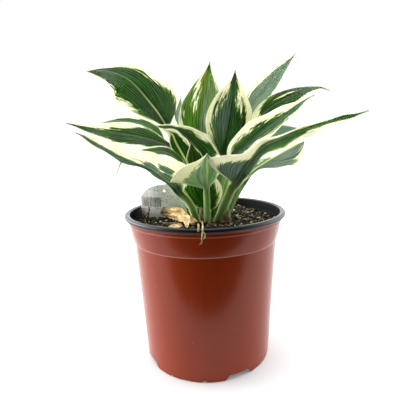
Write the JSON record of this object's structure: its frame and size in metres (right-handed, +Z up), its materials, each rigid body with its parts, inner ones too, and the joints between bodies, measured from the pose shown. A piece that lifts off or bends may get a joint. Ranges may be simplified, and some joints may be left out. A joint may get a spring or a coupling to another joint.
{
  "type": "potted hosta plant",
  "caption": "Leafy hosta plant with wavy cream-edged leaves, in a round tapered nursery pot with a rolled dark rim, soil and a plain plant label.",
  "frame": {"origin": "centre of the underside of the pot, where it rests", "axes": "+Z up, -Y towards the front of the plant, +X to the right as seen from the front"},
  "size_m": [0.2784, 0.1674, 0.3212],
  "materials": {
    "pot_plastic": "satin terracotta outside, black inside and on the rim",
    "soil_mix": "rough crumbly potting mix",
    "crown_tissue": "rough, papery",
    "leaf_tissue": "satin, ribbed, green with cream edges",
    "label_plastic": "weathered, speckled with soil",
    "dry_tissue": "dry, crumpled"
  },
  "bodies": {
    "root": {"pot": "pot_plastic", "soil": "soil_mix", "crown": "crown_tissue", "leaf_left_high": "leaf_tissue", "leaf_back_upright": "leaf_tissue", "leaf_centre_upright": "leaf_tissue", "leaf_right_high": "leaf_tissue", "leaf_right_arched": "leaf_tissue", "leaf_right_diagonal": "leaf_tissue", "leaf_front_right_long": "leaf_tissue", "leaf_front_small": "leaf_tissue", "leaf_right_low": "leaf_tissue", "leaf_front_inner": "leaf_tissue", "leaf_front_left_long": "leaf_tissue", "leaf_left_level": "leaf_tissue", "leaf_left_drooping": "leaf_tissue", "leaf_back_left_slim": "leaf_tissue", "leaf_right_under": "leaf_tissue", "leaf_left_arched": "leaf_tissue", "leaf_centre_left": "leaf_tissue", "leaf_inner_left": "leaf_tissue", "leaf_inner_folded": "leaf_tissue", "plant_label": "label_plastic", "dry_leaf": "dry_tissue", "dry_scrap": "dry_tissue", "rootlet_looped": "dry_tissue", "rootlet_plain": "dry_tissue"}
  },
  "joints": []
}
